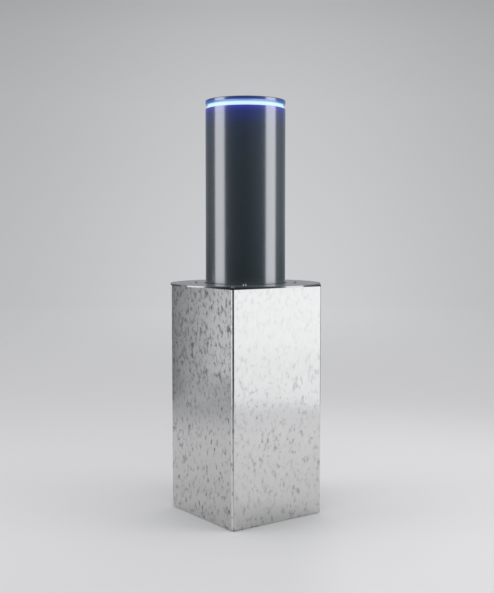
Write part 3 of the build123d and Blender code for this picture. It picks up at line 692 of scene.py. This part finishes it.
def light(finish):
    """Frosted ring, lit from inside, a little whiter at mid height."""
    level = finish.span(finish.axis("Z"), light_low[2], light_high[2], smooth=False)
    glow = finish.ramp(
        level,
        (0, (0.52, 0.74, 0.86)),
        (0.35, (0.62, 0.83, 0.90)),
        (0.75, (0.60, 0.83, 0.91)),
        (1, (0.20, 0.52, 0.80)),
    )
    finish.surface(
        Base_Color=(0.25, 0.3, 0.32, 1),
        Roughness=0.35,
        Emission_Color=glow,
        Emission_Strength=0.81,
    )


def lamp_band(finish):
    where = finish.place()
    dots = finish.cells(where, 170, out="Distance")
    tint = finish.ramp(dots, (0.2, (0.9, 0.88, 0.6)), (0.35, (0.75, 0.78, 0.7)))
    finish.surface(Base_Color=tint, Roughness=0.35)


def painted(finish, colour, roughness, peel=0.25, shine=0.5):
    """Solid paint with a faint orange peel and uneven gloss."""
    where = finish.place()
    cloud = finish.noise(where, 24, 3)
    tint = finish.mix(cloud, shaded(colour, 0.85), shaded(colour, 1.15))
    relief = finish.bump(finish.noise(where, 520, 2), 0.0001, peel)
    finish.surface(
        Base_Color=tint,
        Roughness=roughness + 0.12 * (cloud - 0.5),
        Normal=relief,
        Specular_IOR_Level=shine,
    )


def dark_frame(finish):
    painted(finish, (0.01, 0.011, 0.013), 0.5, 0.1, 0.04)


def black_paint(finish):
    painted(finish, (0.025, 0.025, 0.027), 0.3)


def tank_paint(finish):
    painted(finish, (0.17, 0.19, 0.21), 0.35)


def moulded(finish, colour, roughness):
    """Moulded plastic with a fine even grain."""
    where = finish.place()
    cloud = finish.noise(where, 40, 2)
    grain = finish.cells(where, 1400, out="Distance")
    tint = finish.mix(cloud, shaded(colour, 0.92), shaded(colour, 1.05))
    finish.surface(
        Base_Color=tint,
        Roughness=roughness + 0.1 * (cloud - 0.5),
        Normal=finish.bump(grain, 0.0001, 0.3),
    )


def rubber(finish):
    moulded(finish, (0.018, 0.018, 0.02), 0.62)


def guide_plastic(finish):
    moulded(finish, (0.7, 0.69, 0.63), 0.42)


def knob_plastic(finish):
    moulded(finish, (0.42, 0.04, 0.035), 0.4)


def box_plastic(finish):
    moulded(finish, (0.46, 0.47, 0.48), 0.5)


def black_plastic(finish):
    moulded(finish, (0.022, 0.022, 0.024), 0.45)


finishes = {}
for make in (
    galvanised_sheet,
    galvanised_plate,
    stainless,
    dark_frame,
    flange_steel,
    rubber,
    zinc_screws,
    anthracite_paint,
    light,
    lamp_band,
    turned_aluminium,
    cast_aluminium,
    plain_steel,
    black_paint,
    chromed_rod,
    guide_plastic,
    tank_paint,
    knob_plastic,
    box_plastic,
    black_plastic,
):
    made, tree = new_finish(make.__name__)
    make(tree)
    finishes[make.__name__] = made

for entry in frame["record"]["subparts"]:
    carried = frame["nodes"][entry["node"]]
    carried.data.materials.clear()
    carried.data.materials.append(finishes[entry["material_slot"]])


# Casing and what closes it

def casing():
    """Folded and welded sheet box with an open top."""
    low, high = casing_low, casing_high
    half = high[0]
    shell = block("casing_shell", low, high)
    pick(shell, "FACE", lambda p, n: n.z > 0.9)
    bpy.ops.mesh.delete(type="ONLY_FACE")
    pick(
        shell,
        "EDGE",
        lambda p, d: abs(d.z) > half or (near(p.z, low[2]) and abs(d.z) < half),
    )
    bpy.ops.mesh.bevel(offset=bend, segments=bend_segments, affect="EDGES")
    bpy.ops.object.mode_set(mode="OBJECT")
    modify(shell, "SOLIDIFY", thickness=sheet, offset=-1, use_even_offset=True)
    below, above = -bend, 2 * bend
    drain = (-drain_place, drain_place)
    holes = [rod("drain", drain_radius, below, above, drain, drain_steps)]
    for x in (-anchor_x, anchor_x):
        for y in (-anchor_y, anchor_y):
            holes.append(rod("anchor", anchor_radius, below, above, (x, y)))
    holes.append(across("conduit", conduit_radius, half - 2 * bend, half + bend))
    return cut(shell, *holes)


def across(name, radius, low, high):
    """Cylinder along Y at the conduit entry."""
    deselect()
    bpy.ops.mesh.primitive_cylinder_add(
        vertices=conduit_steps,
        radius=radius,
        depth=high - low,
        location=(conduit_x, (low + high) / 2, conduit_level),
        rotation=(pi / 2, 0, 0),
    )
    return started(name)


def top_frame():
    """Dark square frame, its corners rounded like the casing's."""
    low, high = frame_low[2], frame_high[2]
    plate = block("closing_frame", frame_low, frame_high)
    pick(plate, "EDGE", lambda p, d: abs(d.z) > mm)
    bpy.ops.mesh.bevel(offset=bend, segments=bend_segments, affect="EDGES")
    pick(plate, "EDGE", lambda p, d: near(p.z, high) and near(d.z, 0))
    bpy.ops.mesh.bevel(offset=frame_edge, segments=2, affect="EDGES")
    bpy.ops.object.mode_set(mode="OBJECT")
    tools = [rod("opening", bore, low - mm, high + mm, steps=tube_steps)]
    for place in corner_places(corner_screw_place) + flange_screw_places():
        tools.append(screw_hole(place, low, high))
    return cut(plate, *tools)


def cover_flange():
    """Round plate with a softened rim, cleared over the corner screws."""
    outer = flange_high[0]
    low, high = flange_low[2], flange_high[2]
    plate = turned(
        "cover_plate",
        [(bore, low), (outer, low), (outer, high), (bore, high)],
        [(2, flange_edge, 4), (3, flange_bore_edge, 2)],
    )
    tools = []
    for x, y in corner_places(corner_screw_place):
        notch = rod("notch", notch_radius, low - mm, high + mm, (x, y))
        pick(notch, "FACE", lambda p, n: n.x * x > 0 and n.y * y > 0 and abs(n.z) < 0.5)
        bpy.ops.mesh.extrude_region_move(
            TRANSFORM_OT_translate={"value": (x / notch_share, y / notch_share, 0)}
        )
        bpy.ops.object.mode_set(mode="OBJECT")
        tools.append(notch)
    for place in flange_screw_places():
        tools.append(screw_hole(place, low, high))
    return cut(plate, *tools)


def wiper_seal():
    """Rubber ring with a thin lip against the tube."""
    outer = seal_high[0]
    low, high = seal_low[2], seal_high[2]
    return turned(
        "wiper_lip",
        [
            (seal_bore + seal_lip, low),
            (outer, low),
            (outer, flange_high[2]),
            (seal_bore + seal_lip, high),
            (seal_bore, high),
            (seal_bore, frame_high[2]),
        ],
        [(3, lip_edge, 3)],
    )


for make, slot, node in (
    (casing, "galvanised_sheet", "casing"),
    (top_frame, "dark_frame", "top_frame"),
    (cover_flange, "flange_steel", "cover_flange"),
    (wiper_seal, "rubber", "wiper_seal"),
):
    finished(smoothed(make()), "casing_body", slot, node)

screw_set(
    button_screw("corner_screw", frame_high[2], corner_screw_length),
    corner_places(corner_screw_place),
    "casing_body",
    "corner_screws",
)
screw_set(
    button_screw("flange_screw", flange_high[2], flange_screw_length),
    flange_screw_places(),
    "casing_body",
    "flange_screws",
)


# Tube and crown

def bollard_tube():
    outer = tube_radius
    inner = outer - tube_wall
    low, high = tube_low[2], tube_high[2]
    return turned(
        "rising_cylinder",
        [(inner, low), (outer, low), (outer, high), (inner, high)],
        [(0, tube_edge, 2), (1, tube_edge, 3), (2, tube_edge, 4), (3, tube_edge, 2)],
    )


def light_ring():
    outer = light_high[0]
    inner = outer - light_wall
    low, high = light_low[2], light_high[2]
    points = [(inner, low), (outer, low), (outer, high), (inner, high)]
    return turned("lit_ring", points)


def cap():
    """Lid, bevelled below, its top edge rounded, with four countersunk holes."""
    low, high = cap_low[2], cap_high[2]
    lid = turned(
        "crown_lid",
        [
            (0, high - cap_skin),
            (hub_bore, high - cap_skin),
            (hub_bore, low),
            (tube_radius - cap_bevel_width, low),
            (tube_radius, low + cap_bevel_height),
            (tube_radius, high),
            (0, high),
        ],
        [(4, cap_bevel_edge, 3), (5, cap_edge, 8)],
    )
    holes = [countersink(place, high, cap_hole_depth) for place in cap_screw_places()]
    return cut(lid, *holes)


for make, slot, node in (
    (bollard_tube, "anthracite_paint", "bollard_tube"),
    (light_ring, "light", "light_ring"),
    (cap, "anthracite_paint", "cap"),
):
    finished(smoothed(make()), "rising_tube", slot, node)

screw_set(
    countersunk_screw("cap_screw", cap_high[2], cap_screw_length),
    cap_screw_places(),
    "rising_tube",
    "cap_screws",
)


# Studio: two tall soft boxes, lamps that only mirrors show, a surround and a floor

def soft_box(name, turn, width, low, high, radiance):
    """Upright area light that faces the bollard, turned from the front by degrees."""
    deselect()
    direction = beside(turn)
    x, y = [c * lamp_distance for c in direction]
    bpy.ops.object.light_add(type="AREA", location=(x, y, (low + high) / 2))
    lamp = bpy.context.object
    lamp.name = name
    lamp.rotation_euler = facing(direction)
    lamp.data.shape = "RECTANGLE"
    lamp.data.size = width
    lamp.data.size_y = high - low
    lamp.data.energy = radiance * pi * width * (high - low)
    lamp.visible_camera = False
    return lamp


def facing(direction):
    """Turn an upright lamp so that it shines back along a direction to the centre."""
    back = Vector((-direction[0], -direction[1], 0))
    return back.to_track_quat("-Z", "Y").to_euler()


def beside(turn):
    """Direction on the floor plan, turned from the front by some degrees."""
    x, y = front
    c, s = cos(radians(turn)), sin(radians(turn))
    return (c * x - s * y, s * x + c * y)


def surround():
    """World: pale grey to the eye, dark behind the camera, soft to matt surfaces."""
    world = bpy.data.worlds.new("surround")
    world.use_nodes = True
    bpy.context.scene.world = world
    sky = Finish(world.node_tree)
    way = sky.node("ShaderNodeTexCoord", out="Generated")
    height = sky.node("ShaderNodeSeparateXYZ", {}, {0: way}, out="Z")
    toward = along(sky, way, (-front[0], -front[1]))
    step = sky.span(height, -0.5, 1, smooth=False)
    wall = sky.ramp(
        step,
        (0, 0.60),
        (0.245, 0.535),
        (0.285, 0.479),
        (0.322, 0.470),
        (0.355, 0.458),
        (0.42, 0.428),
        (0.467, 0.382),
        (0.485, 0.352),
        (0.66, 0.29),
        (1, 0.25),
    )
    ahead = sky.span(toward / (1 - height * height) ** 0.5, 0, 1, smooth=False)
    spot = 1 + 0.32 * ahead ** 40
    tint = sky.vector("MULTIPLY", {0: wall, 1: (0.985, 0.992, 1.01)})
    bright = sky.scaled(tint, spot)
    mirrored = sky.ramp(
        sky.span(toward, -1, 1, smooth=False),
        (0, (0.071, 0.097, 0.109)),
        (0.05, (0.077, 0.102, 0.121)),
        (0.12, (0.099, 0.128, 0.148)),
        (0.18, (0.126, 0.159, 0.181)),
        (0.3, (0.15, 0.18, 0.2)),
        (0.64, (0.23, 0.25, 0.268)),
        (0.69, (0.225, 0.25, 0.268)),
        (0.76, (0.175, 0.221, 0.237)),
        (0.85, (0.178, 0.216, 0.24)),
        (0.9, (0.203, 0.235, 0.264)),
        (0.95, (0.215, 0.24, 0.265)),
        (1, 0.44),
    )
    ceiling = sky.span(height, 0.55, 0.9) * sky.span(toward, -0.3, 0.2)
    mirrored = sky.mix(ceiling, mirrored, (0.3, 0.31, 0.34))
    dim = sky.span(height, -0.06, 0.02, 0.6, 1)
    right = along(sky, way, beside(90))
    share = dim * (1 + 0.24 * sky.span(right, 0, 0.4))
    mirrored = sky.scaled(mirrored, share)
    glossy = sky.node("ShaderNodeLightPath", out="Is Glossy Ray")
    seen = sky.node("ShaderNodeLightPath", out="Is Camera Ray")
    lit = sky.mix(glossy, (0.9, 0.9, 0.91), mirrored)
    colour = sky.mix(seen, lit, bright)
    shader = sky.node("ShaderNodeBackground", {}, {"Color": colour, "Strength": 1.0})
    sky.node("ShaderNodeOutputWorld", {}, {"Surface": shader})


def floor():
    """Large pale floor that fades into the surround, a little darker with distance. A
    painted light lifts it at the right; to mirrors it shows a further painted light,
    stronger at the right, and painted shade towards the camera and beside the foot on
    the left, and they don't see it beyond the lamps."""
    deselect()
    bpy.ops.mesh.primitive_circle_add(
        vertices=floor_steps, radius=floor_radius, fill_type="NGON", location=(0, 0, 0)
    )
    ground = started("floor")
    made, tree = new_finish("pale_floor")
    where = tree.node("ShaderNodeTexCoord", out="Object")
    reach = tree.distance(where)
    tint = tree.ramp(
        tree.span(reach, 0, 8, smooth=False),
        (0, (0.66, 0.66, 0.662)),
        (0.3, (0.615, 0.615, 0.625)),
        (1, (0.56, 0.56, 0.57)),
    )
    mirrored = tree.node("ShaderNodeLightPath", out="Is Glossy Ray")
    right = along(tree, where, beside(90))
    # painted light: the floor lifted at the right, for every ray
    seen = 0.09 * tree.span(right, 0.1, 0.35) * tree.span(reach, 1.2, 2.6, 1, 0)
    # painted light and shade seen only in mirrors: brighter at the right, darker by the
    # foot on the left and towards the camera
    painted_light_right = 0.16 * tree.span(right, 0.1, 0.5) + 0.06 * tree.span(right, 0.6, 2.2)
    foot = 0.14 * tree.span(right, -0.55, -0.38, 1, 0)
    foot = foot * tree.span(reach, 0.35, 0.75, 1, 0)
    ahead = along(tree, where, front) - 0.6 * tree.maths("ABSOLUTE", right)
    dark = 0.62 * tree.span(ahead, 0.15, 1.3)
    lift = 1 + seen + mirrored * (0.26 + painted_light_right - foot - dark)
    matt = tree.node("ShaderNodeBsdfDiffuse", {}, {"Color": tree.scaled(tint, lift)})
    clear = tree.node("ShaderNodeBsdfTransparent")
    far = tree.span(reach, 1.8, 9)
    away = tree.span(reach, 1.3, 3.4) * tree.span(right, 0.3, 1.0, 1, 0)
    beyond = tree.span(reach, lamp_distance - 0.05, lamp_distance + 0.3)
    away = tree.maths("MAXIMUM", away, beyond)
    fade = far + (1 - far) * mirrored * away
    both = tree.node("ShaderNodeMixShader", {}, {0: fade, 1: matt, 2: clear})
    tree.node("ShaderNodeOutputMaterial", {}, {"Surface": both})
    ground.data.materials.append(made)


def camera():
    deselect()
    turn = (radians(eye_tilt), 0, radians(eye_turn))
    bpy.ops.object.camera_add(location=eye_place, rotation=turn)
    eye = bpy.context.object
    eye.data.sensor_width = 36
    eye.data.lens = eye_lens
    bpy.context.scene.camera = eye


for name, turn, radiance in (
    ("right_soft_box", lamp_turn, right_radiance),
    ("left_soft_box", -lamp_turn, left_radiance),
):
    soft_box(name, turn, lamp_width, lamp_foot, lamp_head, radiance)
for name, turn, width, low, high, radiance in (
    ("right_shin", lamp_turn, lamp_width, 0.3, lamp_foot, 1.5),
    ("right_foot", lamp_turn, lamp_width, lamp_ground, 0.3, 1.36),
    ("left_foot", -lamp_turn, lamp_width, lamp_ground, lamp_foot, left_radiance),
    ("wide_panel", -104.25, 0.382, lamp_ground, panel_head, 0.46),
    ("narrow_panel", -101.9, 0.193, 0.15, panel_head, 0.43),
):
    soft_box(name, turn, width, low, high, radiance).visible_diffuse = False
surround()
floor()
camera()
bpy.context.scene.view_settings.view_transform = "Standard"
